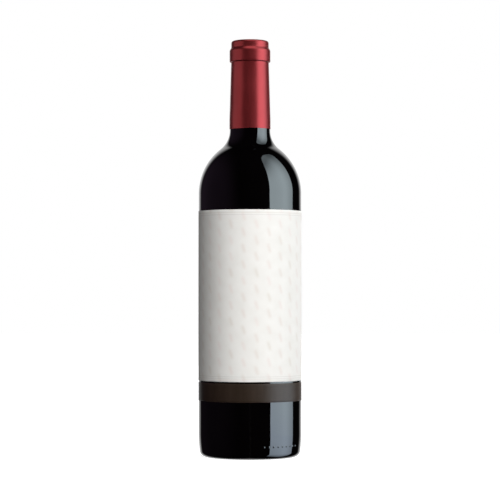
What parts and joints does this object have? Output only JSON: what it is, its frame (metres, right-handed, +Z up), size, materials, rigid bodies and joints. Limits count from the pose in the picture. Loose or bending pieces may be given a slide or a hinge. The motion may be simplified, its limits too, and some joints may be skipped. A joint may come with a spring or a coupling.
{
  "type": "wine bottle",
  "caption": "Full, corked bottle of red wine in dark round-shouldered glass, with a red capsule over the neck, a plain white wrap label and a narrow dark band below it.",
  "frame": {"origin": "middle of the flat resting ring under the base, on the bottle's axis, at the height of the surface it stands on", "axes": "+Z up along the bottle's axis, -Y towards the front of the label, +X to the right of someone who faces the label"},
  "size_m": [0.0746, 0.0744, 0.3005],
  "materials": {
    "dark_glass": "glossy, nearly black, opaque with the wine in it",
    "red_capsule": "satin lacquer over foil",
    "white_paper": "uncoated, matt",
    "brown_paper": "satin print"
  },
  "bodies": {
    "root": {"bottle": "dark_glass", "capsule": "red_capsule", "label": "white_paper", "band": "brown_paper"}
  },
  "joints": []
}
